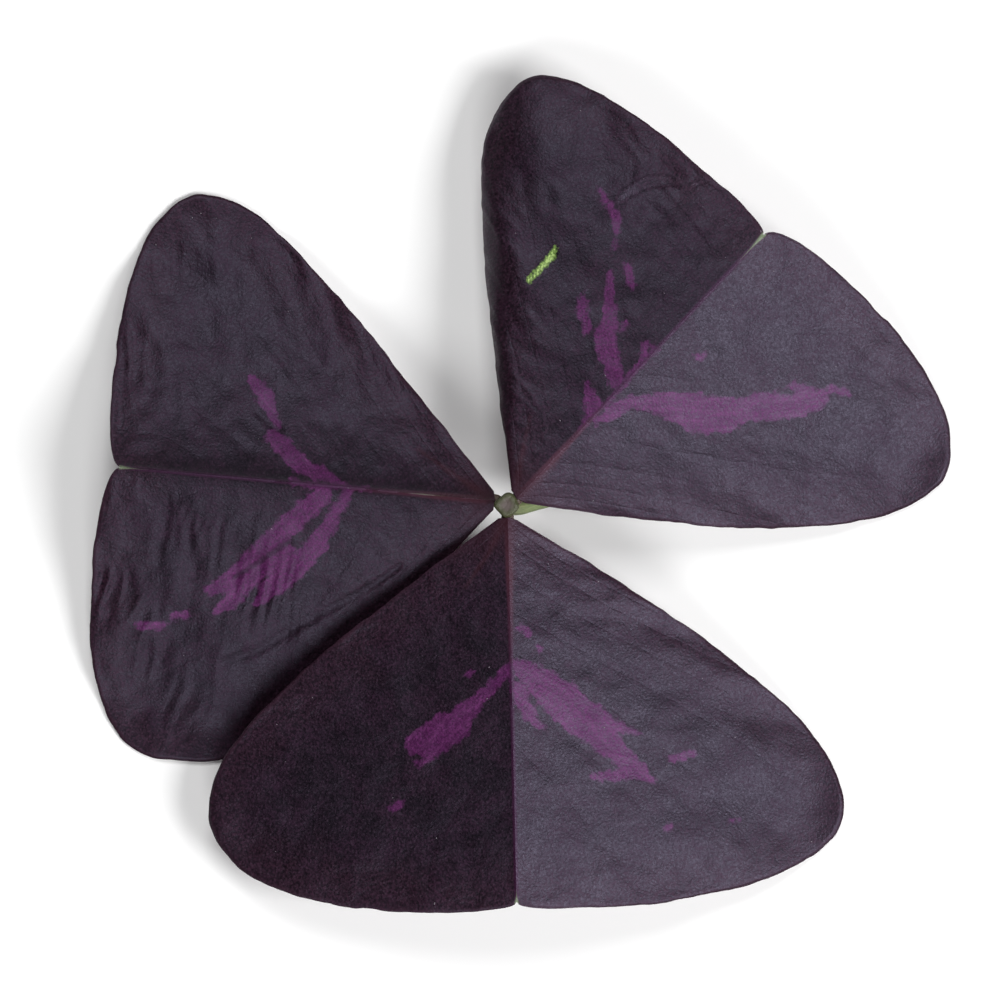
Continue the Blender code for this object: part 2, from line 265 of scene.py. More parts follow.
def softNoise(x, y, seed):    # -1 to 1, smooth between whole numbers
    table = np.random.default_rng(seed).random((128, 128)) * 2 - 1
    xi, yi = np.floor(x).astype(int), np.floor(y).astype(int)
    fx, fy = x - xi, y - yi
    fx, fy = fx * fx * (3 - 2 * fx), fy * fy * (3 - 2 * fy)
    pick = lambda i, j: table[i % 128, j % 128]
    low = pick(xi, yi) * (1 - fx) + pick(xi + 1, yi) * fx
    high = pick(xi, yi + 1) * (1 - fx) + pick(xi + 1, yi + 1) * fx
    return low * (1 - fy) + high * fy


def layeredNoise(x, y, seed, layers):
    total, weight = 0, 1.0
    for n in range(layers):
        total = total + weight * softNoise(x * 2**n, y * 2**n, seed + n)
        weight *= 0.5
    return total


def softStep(low, high, value):
    t = np.clip((value - low) / (high - low), 0, 1)
    return t * t * (3 - 2 * t)


def hump(distance, reach):
    return np.exp(-((distance / reach) ** 2))


def strokeField(x, y, strokes):    # mm inside (+) or outside (-) the strokes
    field = np.full(np.shape(x), -9.0)
    for stroke in strokes:
        for (ax, ay, ar), (bx, by, br) in zip(stroke, stroke[1:]):
            dx, dy = bx - ax, by - ay
            t = np.clip(((x - ax) * dx + (y - ay) * dy) / (dx * dx + dy * dy), 0, 1)
            away = np.hypot(x - ax - t * dx, y - ay - t * dy)
            field = np.maximum(field, ar + (br - ar) * t - away)
    return field


def ridgeHeight(leaflet, along):
    start, end = leaflet["ridge"]
    share = np.maximum(along / leaflet["length"], 0)
    return start + (end - start) * share + leaflet["arch"] * 4 * share * (1 - share)


def middleHeight(leaflet, half, foot, x, y, share, out):    # the solid's middle surface
    height = ridgeHeight(leaflet, foot + (x - foot) * 0.5)
    height = height - half["drop"] * (np.maximum(y, 0) / blade["halfWidth"]) ** half["flare"]
    waves = np.sin(2 * np.pi * share * half["marginLength"] / blade["waveLength"])
    height = height + half["wave"] * waves * np.sin(np.pi * share) * out**2
    curl = np.sin(np.pi * np.minimum(share / blade["curlEnd"], 1)) * out**6
    height = height - half.get("curl", 0.0) * curl
    above = height - blade["rest"]
    return blade["rest"] + 0.5 * (above + np.hypot(above, blade["restBlend"]))


# The blades' low relief, in mm. A density is in waves to the mm.
surface = {
    "puckers": [(0.10, 0.40, 0), (0.035, 0.95, 7)],  # height, density, seed
    "veins": (0.018, 0.4),                           # depth, reach to each side
    "wrinkles": (0.14, 0.85, 0.12),                  # height, density along the midrib and away from it
    "wrinkleSlant": 0.10,
    "wrinkleSharpness": 1.8,
    "warp": (0.3, 0.22),         # how far the wrinkles wander, density
    "patchDensity": 0.16,        # they come in patches
    "patchReach": (0.08, 0.35),  # share of the way to the margin, from none to all
    "neatFold": (-0.4, 1.6),     # mm from the midrib, from no relief to all of it
    "dimples": 0.7,              # share of each dimple's depth
    "scars": 0.10,               # depth
    "darkLines": 0.10,
    "creases": (0.34, 1.6, 0.30),  # height, reach, width of the step
    "fold": (0.03, 0.14),          # height, reach
}


def surfaceRelief(leaflet, half, side, x, y, share, out, strokes, seed):    # mm above the middle surface
    signed = side * y

    def lumps(density, extra):
        return layeredNoise(x * density, signed * density, seed + extra, 2)

    puckers = sum(height * lumps(density, extra) for height, density, extra in surface["puckers"])
    relief = half["pucker"] * puckers
    spacing = (leaflet["length"] + (half["marginLength"] - leaflet["length"]) * out) / blade["veins"]
    place = (share - blade["veinBend"] * out) * blade["veins"]
    depth, reach = surface["veins"]
    relief -= depth * hump(np.abs(place - np.round(place)) * spacing, reach) * (1 - 0.5 * out)

    height, densityAlong, densityAway = surface["wrinkles"]
    warp, warpDensity = surface["warp"]
    along = (x - surface["wrinkleSlant"] * y) * densityAlong + warp * lumps(warpDensity, 13)
    folds = 0.5 - surface["wrinkleSharpness"] * np.abs(layeredNoise(along, y * densityAway, seed + 17, 2))
    patches = softStep(-0.5, 0.4, lumps(surface["patchDensity"], 21)) * softStep(*surface["patchReach"], out)
    relief += half["wrinkles"] * height * folds * patches
    relief *= softStep(*surface["neatFold"], y)
    for dimpleX, dimpleY, radius, depth in leaflet["dimples"]:
        away = (x - dimpleX) ** 2 + (signed - dimpleY) ** 2
        relief -= surface["dimples"] * depth * np.exp(-(away / radius**2))
    relief -= surface["scars"] * softStep(-0.15, 0.15, strokes["scars"])
    relief -= surface["darkLines"] * softStep(-0.35, 0.10, strokes["darkLines"])

    pieces = 30
    height, reach, step = surface["creases"]
    for crease in leaflet.get("creases", []):    # the blade steps up across it and comes back slowly
        line, _ = evenly(smoothLine(crease, 6), pieces)
        gaps = np.hypot(x[..., None] - line[:, 0], signed[..., None] - line[:, 1])
        nearest, gap = gaps.argmin(axis=-1), gaps.min(axis=-1)
        upper = np.sign((signed - line[nearest, 1]) + 0.6 * (x - line[nearest, 0]))
        fade = np.sin(np.pi * np.clip(nearest / pieces, 0.05, 0.95)) * hump(gap, reach)
        relief += height * upper * fade * (1 - hump(gap, step))
    height, reach = surface["fold"]
    return relief + height * hump(y, reach)


def toWorld(leaflet, x, y, z):    # from a leaflet's frame to the scene, in metres
    turn = math.radians(leaflet["heading"])
    baseX, baseY = leaflet["base"]
    worldX = hub[0] + baseX + x * math.cos(turn) - y * math.sin(turn)
    worldY = hub[1] + baseY + x * math.sin(turn) + y * math.cos(turn)
    return np.stack([worldX, worldY, z + lift], axis=-1) * mm


# Scene pieces

leafCollection = bpy.data.collections.new("purpleShamrockLeaf")
bpy.context.scene.collection.children.link(leafCollection)


def newObject(name, mesh, *materials):
    piece = bpy.data.objects.new(name, mesh)
    leafCollection.objects.link(piece)
    for material in materials:
        mesh.materials.append(material)
    return piece


def finishPiece(piece, slot, *nodes):
    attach(piece, "root")
    if nodes:
        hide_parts(*nodes)


def setAttribute(mesh, name, kind, values):
    data = mesh.attributes.new(name, kind, "POINT").data
    data.foreach_set("vector" if kind == "FLOAT_VECTOR" else "value", np.asarray(values, np.float32).ravel())


def halfGrid(leaflet, half, side):    # rays from the midrib to the margin, and steps along each ray
    margin, _ = evenly(half["margin"], blade["rays"])
    share = np.linspace(0, 1, blade["rays"] + 1)[:, None]
    way = np.gradient(margin, axis=0)
    way /= np.linalg.norm(way, axis=1)[:, None]
    ripple = layeredNoise(share * half["marginLength"] / blade["rippleLength"], 0 * share + side * 3.5, 53, 3)
    ripple = blade["ripple"] * ripple * np.minimum(1, 12 * share * (1 - share))
    margin = margin + ripple * np.stack([-way[:, 1], way[:, 0]], axis=1)
    out = (np.linspace(0, 1, blade["steps"] + 1) ** blade["crowding"])[None, :]
    foot = leaflet["length"] * share ** blade["footCrowding"]
    x = foot + (margin[:, :1] - foot) * out
    y = margin[:, 1:] * out
    share, out = share + 0 * out, out + 0 * share
    height = middleHeight(leaflet, half, foot, x, y, share, out)
    edge, _ = evenly(margin, blade["edgePieces"])
    rim = np.min(np.hypot(x[..., None] - edge[:, 0], y[..., None] - edge[:, 1]), axis=-1)
    return x, y, height, share, out, rim


# Which strokes each layer of a blade's mesh holds
strokeLayers = {"flameField": "flames", "darkLine": "darkLines", "redLine": "redLines",
                "greenLine": "greenLines", "scar": "scars"}


def bladeMesh(name, leaflet, seed):
    points, faces, materials, layers = [], [], [], []
    start = 0
    for side, half in leaflet["halves"].items():
        x, y, height, share, out, rim = halfGrid(leaflet, half, side)
        signed = side * y
        kinds = [*strokeLayers.values(), "flameHoles"]
        strokes = {kind: strokeField(x, signed, leaflet.get(kind, [])) for kind in kinds}
        strokes["flames"] = np.minimum(strokes["flames"], -strokes["flameHoles"])
        relief = surfaceRelief(leaflet, half, side, x, y, share, out, strokes, seed)
        relief = relief * softStep(0.0, blade["smoothRim"], rim)
        top = np.maximum(height - blade["rest"] + relief, 0.0) + blade["thickness"]
        top -= blade["rimDrop"] * (1 - softStep(0.0, blade["rimWidth"], rim))
        thick = between(blade["edgeThickness"], blade["thickness"], softStep(0.0, blade["thinRim"], rim))
        bottom = top - thick
        points += [toWorld(leaflet, x, signed, z).reshape(-1, 3) for z in (top, bottom)]

        # One more row of points halfway down the edge, along the base and round the margin. It stands
        # out a little where the rays run forward.
        rows, columns = x.shape
        count = rows * columns
        row = np.r_[np.zeros(columns, int), np.arange(1, rows)]
        edge = row, np.r_[np.arange(columns), np.full(rows - 1, columns - 1)]
        outward = x[row, -1] - x[row, 0] - 3.0 * (row == 0)
        bulge = np.clip(blade["bulge"] * outward / 12, -blade["bulgeLimit"], blade["bulgeLimit"])
        points.append(toWorld(leaflet, x[edge] + bulge, signed[edge], (top[edge] + bottom[edge]) / 2))

        index = np.arange(count).reshape(rows, columns) + start
        corners = [index[:-1, :-1], index[1:, :-1], index[1:, 1:], index[:-1, 1:]]
        quads = np.stack(corners, axis=-1).reshape(-1, 4)
        faces += [quads, quads[:, ::-1] + count]
        materials += [np.zeros(len(quads), int), np.ones(len(quads), int)]
        upper, middle = index[edge], np.arange(len(row)) + start + 2 * count
        for above, below in ((upper, middle), (middle, upper + count)):
            faces.append(np.stack([above[:-1], above[1:], below[1:], below[:-1]], axis=-1))
            materials.append(np.zeros(len(row) - 1, int))
        start += 2 * count + len(row)

        flat = lambda grid: np.concatenate([grid.ravel(), grid.ravel(), grid[edge]])
        layers.append({
            "leafPlace": np.stack([flat(x), flat(signed), flat(0 * x)], axis=-1),
            "rayPlace": np.stack([flat(share), flat(out), flat(0 * x + side)], axis=-1),
            "rim": flat(rim),
            **{layer: flat(strokes[kind]) for layer, kind in strokeLayers.items()},
        })

    mesh = bpy.data.meshes.new(name)
    mesh.from_pydata(np.vstack(points), [], np.vstack(faces).tolist())
    mesh.polygons.foreach_set("material_index", np.concatenate(materials))
    for layer in layers[0]:
        values = np.concatenate([halfLayers[layer] for halfLayers in layers])
        setAttribute(mesh, layer, "FLOAT_VECTOR" if values.ndim == 2 else "FLOAT", values)
    welded = bmesh.new()
    welded.from_mesh(mesh)
    bmesh.ops.remove_doubles(welded, verts=welded.verts, dist=blade["weld"] * mm)
    smoothOutward(welded, mesh)
    return mesh


def smoothOutward(shape, mesh):    # faces outward, smooth shading, and back into the mesh
    bmesh.ops.recalc_face_normals(shape, faces=shape.faces)
    for face in shape.faces:
        face.smooth = True
    shape.to_mesh(mesh)
    shape.free()


# Node trees

class Wire:    # a node's output. Sums written with wires become maths nodes.
    def __init__(self, socket):
        self.socket, self.tree = socket, socket.id_data

    def __add__(self, other):
        return maths("ADD", self, other)

    def __sub__(self, other):
        return maths("SUBTRACT", self, other)

    def __mul__(self, other):
        return maths("MULTIPLY", self, other)

    def __truediv__(self, other):
        return maths("DIVIDE", self, other)


def put(kind, sockets=None, output=0, tree=None, **settings):    # a node, in the tree of the wires it takes
    sockets = sockets or {}
    tree = tree or next(value.tree for value in sockets.values() if isinstance(value, Wire))
    node = tree.nodes.new(kind)
    for key, value in settings.items():
        setattr(node, key, value)
    for name, value in sockets.items():
        if isinstance(value, Wire):
            link(value, node.inputs[name])
        else:
            node.inputs[name].default_value = value
    return Wire(node.outputs[output])


def link(wire, socket):
    wire.tree.links.new(wire.socket, socket)


def outputs(node):
    return {socket.name: Wire(socket) for socket in node.outputs}


def useGroup(group, **values):
    return outputs(put("ShaderNodeGroup", values, node_tree=group).socket.node)


def split(vector):
    return list(outputs(put("ShaderNodeSeparateXYZ", {0: vector}).socket.node).values())


def join(*values):
    return put("ShaderNodeCombineXYZ", dict(enumerate(values)))


def maths(operation, *values):
    return put("ShaderNodeMath", dict(enumerate(values)), operation=operation)


def sway(value, amount, base):    # base, moved up and down by a noise about 0.5
    return maths("MULTIPLY_ADD", value - 0.5, amount, base)


def rise(value, low, high, toLow=0.0, toHigh=1.0):    # a soft step from low to high
    sockets = {"Value": value, "From Min": low, "From Max": high, "To Min": toLow, "To Max": toHigh}
    return put("ShaderNodeMapRange", sockets, interpolation_type="SMOOTHSTEP")


def tint(factor, first, second, blend="MIX"):
    return put("ShaderNodeMix", {0: factor, 6: first, 7: second}, 2, data_type="RGBA", blend_type=blend)


def attribute(tree, name, output="Fac"):
    return put("ShaderNodeAttribute", None, output, tree, attribute_name=name)


def objectPlace(tree):
    return put("ShaderNodeTexCoord", None, "Object", tree)


def noise(vector, scale, detail=3.0, roughness=0.55, distortion=0.0):
    sockets = {"Vector": vector, "Scale": scale, "Detail": detail, "Roughness": roughness,
               "Distortion": distortion}
    return put("ShaderNodeTexNoise", sockets, "Fac")


def cells(vector, scale, output):
    return put("ShaderNodeTexVoronoi", {"Vector": vector, "Scale": scale}, output, feature="F1")


def newGroup(name, inputs, results, kind="Shader", resultKind="Float"):    # its inputs, each with its kind
    group = bpy.data.node_groups.new(name, kind + "NodeTree")
    for socketName, socketKind in inputs.items():
        group.interface.new_socket(socketName, in_out="INPUT", socket_type="NodeSocket" + socketKind)
    for socketName in results:
        group.interface.new_socket(socketName, in_out="OUTPUT", socket_type="NodeSocket" + resultKind)
    return group, outputs(group.nodes.new("NodeGroupInput")), group.nodes.new("NodeGroupOutput").inputs


def velvetGrainGroup():    # the fine velvety cells and the soft mottling of a blade
    inputs = {"Place": "Vector", "Cells": "Float", "Mottle": "Float"}
    group, given, result = newGroup("velvetGrain", inputs, ["Grain", "Pepper", "Mottling", "Height"])
    place = given["Place"]
    fine = noise(place, 4.2, 2.0, 0.6)
    crepe = noise(place, 1.3, 3.0, 0.6)
    grain = maths("MULTIPLY_ADD", cells(place, given["Cells"], "Distance"), -0.45, fine + 0.2)
    link(grain, result["Grain"])
    single = cells(place, given["Cells"] * 1.4, "Color")
    link(put("ShaderNodeSeparateColor", {0: single}), result["Pepper"])
    link(noise(place, given["Mottle"], 4.0, 0.6, 0.4), result["Mottling"])
    link(grain * 0.6 + crepe * 0.35, result["Height"])
    return group


def sideVeinsGroup():    # lines that sweep from the midrib to the margin
    inputs = {"Ray": "Vector", "Place": "Vector", "Count": "Float", "Bend": "Float", "Width": "Float",
              "Waver": "Float"}
    group, given, result = newGroup("sideVeins", inputs, ["Line"])
    share, out, _ = split(given["Ray"])
    wander = (noise(given["Place"], 0.3, 2.0) - 0.5) * given["Waver"]
    place = (share - out * given["Bend"]) * given["Count"] + wander
    away = maths("ABSOLUTE", place - maths("ROUND", place))
    link(rise(away, given["Width"], 0.0), result["Line"])
    return group


def flameMaskGroup():    # the flame marking, with its edge broken up along the veins
    inputs = {"Field": "Float", "Place": "Vector", "Ray": "Vector", "Ragged": "Float"}
    group, given, result = newGroup("flameMask", inputs, ["Mask", "Streak"])
    share, out, side = split(given["Ray"])
    swept = maths("MULTIPLY_ADD", out, -0.30, share)
    streak = noise(join(swept * 60.0, out * 11.0, side), 1.0, 3.0, 0.65)
    blot = noise(given["Place"], 1.2, 2.5, 0.6)
    shove = sway(blot, 2.2, (streak - 0.5) * 0.9)
    field = maths("MULTIPLY_ADD", shove, given["Ragged"], given["Field"])
    link(rise(field, -0.16, 0.20), result["Mask"])
    link(streak, result["Streak"])
    return group


velvetGrain = velvetGrainGroup()
sideVeins = sideVeinsGroup()
flameMask = flameMaskGroup()

leafLook = {
    "skin": (0.0098, 0.0025, 0.0074, 1),  # dark purple of the upper side
    "skinDeep": (0.0046, 0.0013, 0.0036, 1),
    "skinWarm": (0.0200, 0.0050, 0.0110, 1),  # towards the margin
    "speck": (0.029, 0.021, 0.029, 1),        # pale velvety cells
    "flame": (0.056, 0.0068, 0.050, 1),
    "flamePale": (0.078, 0.014, 0.070, 1),
    "flameDeep": (0.050, 0.004, 0.046, 1),
    "fold": (0.030, 0.004, 0.024, 1),      # the line along the midrib
    "foldPink": (0.070, 0.022, 0.036, 1),  # the same line near the knob
    "foldWidth": (0.26, 0.44),             # mm to each side, out on the blade and near the knob
    "red": (0.034, 0.0072, 0.0100, 1),     # veins near the knob
    "hubRed": (0.019, 0.0030, 0.0055, 1),  # the skin beside the knob
    "rim": (0.032, 0.011, 0.020, 1),
    "notchGreen": (0.16, 0.21, 0.12, 1),
    "scarGreen": (0.10, 0.17, 0.03, 1),
    "scarPale": (0.34, 0.48, 0.14, 1),
    "cells": 5.0,  # to the mm
    "mottle": 0.35,
    "flameRagged": 0.55,  # mm that noise moves a flame's edge
    "veinLines": {"Count": float(blade["veins"]), "Bend": blade["veinBend"], "Width": 0.04, "Waver": 0.3},
    "sheenTint": (0.79, 0.705, 0.99, 1),
    "roughness": 0.47,
    "roughnessRange": 0.14,
    "specular": 0.34,
    "bump": 0.045,  # mm
}

underLook = {
    "skin": (0.085, 0.012, 0.052, 1),
    "skinDeep": (0.04675, 0.0066, 0.0286, 1),
    "veins": (0.14, 0.035, 0.07, 1),
    "cells": 3.2,
    "mottle": 0.3,
    "flameRagged": 0.75,
    "veinLines": {"Count": 36.0, "Bend": 0.08, "Width": 0.2, "Waver": 2.5},
    "roughness": 0.42,
    "bump": 0.08,
}


def newMaterial(name, roughness, specular=0.5):
    material = bpy.data.materials.new(name)
    material.use_nodes = True
    inputs = material.node_tree.nodes["Principled BSDF"].inputs
    inputs["Roughness"].default_value = roughness
    inputs["Specular IOR Level"].default_value = specular
    return material, material.node_tree, inputs


def finishMaterial(inputs, colour, height, distance):    # a colour, and a bump of this many mm
    link(colour, inputs["Base Color"])
    bump = put("ShaderNodeBump", {"Height": height, "Distance": distance * mm, "Strength": 1.0})
    link(bump, inputs["Normal"])


def leafParts(tree, look):    # what both sides of a blade have
    place, ray = attribute(tree, "leafPlace", "Vector"), attribute(tree, "rayPlace", "Vector")
    velvet = useGroup(velvetGrain, Place=place, Cells=look["cells"], Mottle=look["mottle"])
    veins = useGroup(sideVeins, Ray=ray, Place=place, **look["veinLines"])["Line"]
    field = attribute(tree, "flameField")
    flame = useGroup(flameMask, Field=field, Place=place, Ray=ray, Ragged=look["flameRagged"])
    return place, velvet, veins, flame


def leafUpperMaterial():
    look = leafLook
    material, tree, inputs = newMaterial("leafUpper", look["roughness"], look["specular"])
    inputs["Specular Tint"].default_value = look["sheenTint"]
    place, velvet, veins, flame = leafParts(tree, look)
    grain, pepper, mottling = velvet["Grain"], velvet["Pepper"], velvet["Mottling"]
    rim = attribute(tree, "rim")

    def over(colour, name, field, low, high, amount=1.0):    # another colour where the field nears high
        return tint(rise(field, low, high, 0.0, amount), colour, look[name])

    # The skin
    colour = tint(rise(mottling, 0.38, 0.62), look["skinDeep"], look["skin"])
    colour = over(colour, "skinWarm", sway(mottling, 9.0, rim), 6.0, 0.5, 0.45)
    shade = rise(grain, 0.2, 0.75, 0.6, 1.5) * rise(pepper, 0.0, 1.0, 0.45, 1.55)
    greyShade = put("ShaderNodeCombineColor", {0: shade, 1: shade, 2: shade})
    colour = tint(1.0, colour, greyShade, "MULTIPLY")
    colour = over(colour, "speck", grain, 0.50, 0.85, 0.65)
    colour = tint(veins * 0.15, colour, look["skinDeep"])

    # The flames
    flameColour = tint(rise(flame["Streak"], 0.42, 0.68), look["flame"], look["flamePale"])
    flameColour = over(flameColour, "flameDeep", flame["Streak"], 0.46, 0.30, 0.5)
    flameColour = tint(0.45, flameColour, greyShade, "MULTIPLY")
    colour = tint(flame["Mask"] * 0.96, colour, flameColour)
    # Along the darkLine strokes the colour darkens towards skinDeep: partly the leaf's own dark lines, partly
    # painted shade in the creases that the same strokes sink into the blade
    colour = over(colour, "skinDeep", attribute(tree, "darkLine"), -0.20, 0.10, 0.6)

    # The line along the fold, which widens and turns pink near the knob
    along, away, _ = split(place)
    foldColour = tint(rise(along, 12.0, 4.0), look["fold"], look["foldPink"])
    across = maths("ABSOLUTE", away) / rise(along, 12.0, 1.0, *look["foldWidth"])
    colour = tint(rise(across, 1.0, 0.3, 0.0, 0.75), colour, foldColour)

    # Reddish veins and skin near the knob, the margin, the notch and the scratch
    colour = over(colour, "red", sway(mottling, 0.6, attribute(tree, "redLine")), -0.30, 0.40, 0.75)
    colour = over(colour, "hubRed", along, 4.5, 0.5, 0.6)
    colour = over(colour, "rim", sway(mottling, 1.2, rim), 0.45, 0.0, 0.5)
    colour = over(colour, "notchGreen", attribute(tree, "greenLine"), -0.14, 0.06, 0.9)
    scar = sway(grain, 0.45, attribute(tree, "scar"))
    colour = over(colour, "scarGreen", scar, -0.16, 0.02)
    colour = over(colour, "scarPale", scar, 0.02, 0.16)

    extent = look["roughnessRange"]
    rough = maths("MULTIPLY_ADD", mottling, extent, look["roughness"] - extent)
    link(maths("MULTIPLY_ADD", pepper, extent, rough), inputs["Roughness"])
    finishMaterial(inputs, colour, velvet["Height"] - veins * 0.10, look["bump"])
    return material


def leafUnderMaterial():
    look = underLook
    material, tree, inputs = newMaterial("leafUnder", look["roughness"])
    _, velvet, veins, flame = leafParts(tree, look)
    colour = tint(rise(velvet["Mottling"], 0.3, 0.7), look["skinDeep"], look["skin"])
    colour = tint(flame["Mask"] * 0.5, colour, leafLook["flamePale"])
    colour = tint(veins * 0.3, colour, look["veins"])
    finishMaterial(inputs, colour, velvet["Height"] + veins * 0.5, look["bump"])
    return material


def tubeMaterial(name, look):    # fibres along a tube, and a blush from its beginning
    material, tree, inputs = newMaterial(name, look["roughness"])
    place = attribute(tree, "tubePlace", "Vector")
    stretch = put("ShaderNodeVectorMath", {0: place, 1: (3.2, 3.2, 0.35)}, operation="MULTIPLY")
    fibres = noise(stretch, 1.6, 4.0, 0.6)
    spots = noise(place, 2.4, 3.0, 0.6)
    colour = tint(rise(fibres, 0.35, 0.65), look["skin"], look["fibres"])
    full, gone = look["blushReach"]
    flush = rise(split(place)[2], gone, full) * rise(spots, 0.3, 0.6, 0.5, 1.0)
    finishMaterial(inputs, tint(flush, colour, look["blush"]), fibres + spots * 0.4, 0.07)
    return material


def knobMaterial(look):
    material, tree, inputs = newMaterial("knobSkin", 0.5)
    radius = split(attribute(tree, "knobPlace", "Vector"))[0]
    lumps = noise(objectPlace(tree), 2600.0, 4.0, 0.6)
    wobble = sway(lumps, 0.5, radius)
    colour = tint(rise(wobble, 0.25, 0.80), look["middle"], look["skin"])
    colour = tint(rise(wobble, 0.85, 1.15), colour, look["side"])
    colour = tint(rise(lumps, 0.56, 0.72, 0.0, 0.6), colour, look["spots"])
    finishMaterial(inputs, colour, lumps, 0.12)
    return material


def cutMaterial(look):    # pale pith with a ring of bundles
    material, tree, inputs = newMaterial("stalkCut", 0.6)
    radius, turn, _ = split(attribute(tree, "knobPlace", "Vector"))
    fromRing = maths("ABSOLUTE", radius - look["ringRadius"])
    ring = rise(fromRing, 0.16, 0.04) * rise(maths("COSINE", turn * look["bundles"]), 0.1, 0.7)
    speckle = noise(objectPlace(tree), 4200.0, 3.0)
    colour = tint(rise(speckle, 0.35, 0.7), look["pith"], look["palePith"])
    colour = tint(ring, colour, look["ring"])
    colour = tint(rise(radius, 0.86, 0.97), colour, look["skin"])
    finishMaterial(inputs, colour, speckle - ring, 0.08)
    return material


# Geometry node trees

def finishTree(group, geometry, given, result):    # ends every tree
    smooth = put("GeometryNodeSetShadeSmooth", {"Geometry": geometry})
    real = put("GeometryNodeRealizeInstances", {"Geometry": smooth})
    done = put("GeometryNodeSetMaterial", {"Geometry": real, "Material": given["Material"]})
    link(done, result["Geometry"])
    return group


def keep(geometry, name, value):    # the geometry, and the value as it is on it now
    node = geometry.tree.nodes.new("GeometryNodeCaptureAttribute")
    node.capture_items.new("FLOAT", name)
    link(geometry, node.inputs["Geometry"])
    link(value, node.inputs[name])
    return Wire(node.outputs["Geometry"]), Wire(node.outputs[name])


def sweepTree():    # a tube along each line of edges, as thick as its points say
    inputs = {"Geometry": "Geometry", "Sides": "Int", "Ridges": "Float", "Ridge Depth": "Float",
              "Unevenness": "Float", "Material": "Material"}
    group, given, result = newGroup("sweepAlongRoute", inputs, ["Geometry"], "Geometry", "Geometry")
    route = put("GeometryNodeMeshToCurve", {"Mesh": given["Geometry"]})
    thick = put("GeometryNodeInputNamedAttribute", {"Name": "thick"}, tree=group, data_type="FLOAT")
    route = put("GeometryNodeSetCurveRadius", {"Curve": route, "Radius": thick})
    circle = put("GeometryNodeCurvePrimitiveCircle", {"Resolution": given["Sides"], "Radius": 1.0})
    route, length = keep(route, "Length", put("GeometryNodeSplineParameter", None, "Length", group))
    circle, factor = keep(circle, "Turn", put("GeometryNodeSplineParameter", None, "Factor", group))
    radius = put("GeometryNodeInputRadius", tree=group)
    sockets = {"Curve": route, "Profile Curve": circle, "Scale": radius, "Fill Caps": True}
    tube = put("GeometryNodeCurveToMesh", sockets)
    turn = factor * (2 * math.pi)
    where = join(maths("COSINE", turn), maths("SINE", turn), length * 1000.0)
    sockets = {"Geometry": tube, "Name": "tubePlace", "Value": where}
    tube = put("GeometryNodeStoreNamedAttribute", sockets, data_type="FLOAT_VECTOR", domain="POINT")
    lumps = put("ShaderNodeTexNoise", {"Vector": where, "Scale": 0.9, "Detail": 2.0}, "Fac")
    ridge = maths("COSINE", turn * given["Ridges"]) * given["Ridge Depth"]
    push = (ridge + (lumps - 0.5) * given["Unevenness"]) * mm
    normal = put("GeometryNodeInputNormal", tree=group)
    offset = put("ShaderNodeVectorMath", {0: normal, "Scale": push}, operation="SCALE")
    tube = put("GeometryNodeSetPosition", {"Geometry": tube, "Offset": offset})
    return finishTree(group, tube, given, result)


def lintTree():    # specks of lint on the upward faces
    inputs = {"Geometry": "Geometry", "Density": "Float", "Smallest": "Float", "Largest": "Float",
              "Seed": "Int", "Material": "Material"}
    group, given, result = newGroup("scatterLint", inputs, ["Geometry"], "Geometry", "Geometry")

    def draw(low, high, seed):
        sockets = {2: low, 3: high, "Seed": seed}
        return put("FunctionNodeRandomValue", sockets, 1, group, data_type="FLOAT")

    upward = maths("GREATER_THAN", split(put("GeometryNodeInputNormal", tree=group))[2], 0.5)
    sockets = {"Mesh": given["Geometry"], "Selection": upward, "Density": given["Density"],
               "Seed": given["Seed"]}
    spots = put("GeometryNodeDistributePointsOnFaces", sockets, "Points")
    speck = put("GeometryNodeMeshIcoSphere", {"Radius": 1.0, "Subdivisions": 1}, tree=group)
    size = draw(given["Smallest"], given["Largest"], given["Seed"])
    scale = join(size * draw(1.0, 3.2, 5), size, size * 0.6)
    spin = join(0.0, 0.0, draw(0.0, 6.283, 9))
    sockets = {"Points": spots, "Instance": speck, "Rotation": spin, "Scale": scale}
    return finishTree(group, put("GeometryNodeInstanceOnPoints", sockets), given, result)


def growWith(piece, tree, material, values):    # runs a node tree and leaves a plain mesh
    modifier = piece.modifiers.new(tree.name, "NODES")
    modifier.node_group = tree
    values = {**values, "Material": material}
    for item in tree.interface.items_tree:
        if item.in_out == "INPUT" and item.name in values:
            modifier[item.identifier] = values[item.name]
    bpy.context.view_layer.update()
    grown = bpy.data.meshes.new_from_object(piece.evaluated_get(bpy.context.evaluated_depsgraph_get()))
    piece.modifiers.remove(modifier)
    piece.data = grown


def routeMesh(name, routes):    # lines of edges, each from a list of points and a list of radii, in metres
    points, edges, radii = [], [], []
    for route, thick in routes:
        start = len(points)
        points += [tuple(point) for point in route]
        radii += list(thick)
        edges += [(start + n, start + n + 1) for n in range(len(route) - 1)]
    mesh = bpy.data.meshes.new(name)
    mesh.from_pydata(points, edges, [])
    setAttribute(mesh, "thick", "FLOAT", radii)
    return mesh


sweep = sweepTree()
lint = lintTree()
print("node trees made")


# Pieces

# The midrib and side ribs that stand out below a blade, in mm
ribs = {
    "reach": (0.6, 0.97),  # mm from the base, and share of the leaflet's length
    "depth": 0.32,         # of the midrib's centre line below the blade
    "radius": 0.34,        # at the base
    "thinning": 0.75,      # share of it gone at the notch
    "sideRadius": 0.11,
    "sideThinning": 0.7,
    "sideReach": 0.94,  # share of the way to the margin
    "tube": {"Sides": 8, "Ridges": 0.0, "Ridge Depth": 0.0, "Unevenness": 0.02},
    "skin": (0.10, 0.022, 0.05, 1),
    "fibres": (0.17, 0.05, 0.085, 1),
    "blush": (0.14, 0.10, 0.05, 1),
    "blushReach": (0.0, 5.0),  # mm along it where the blush is full, and where it is gone
    "roughness": 0.4,
}

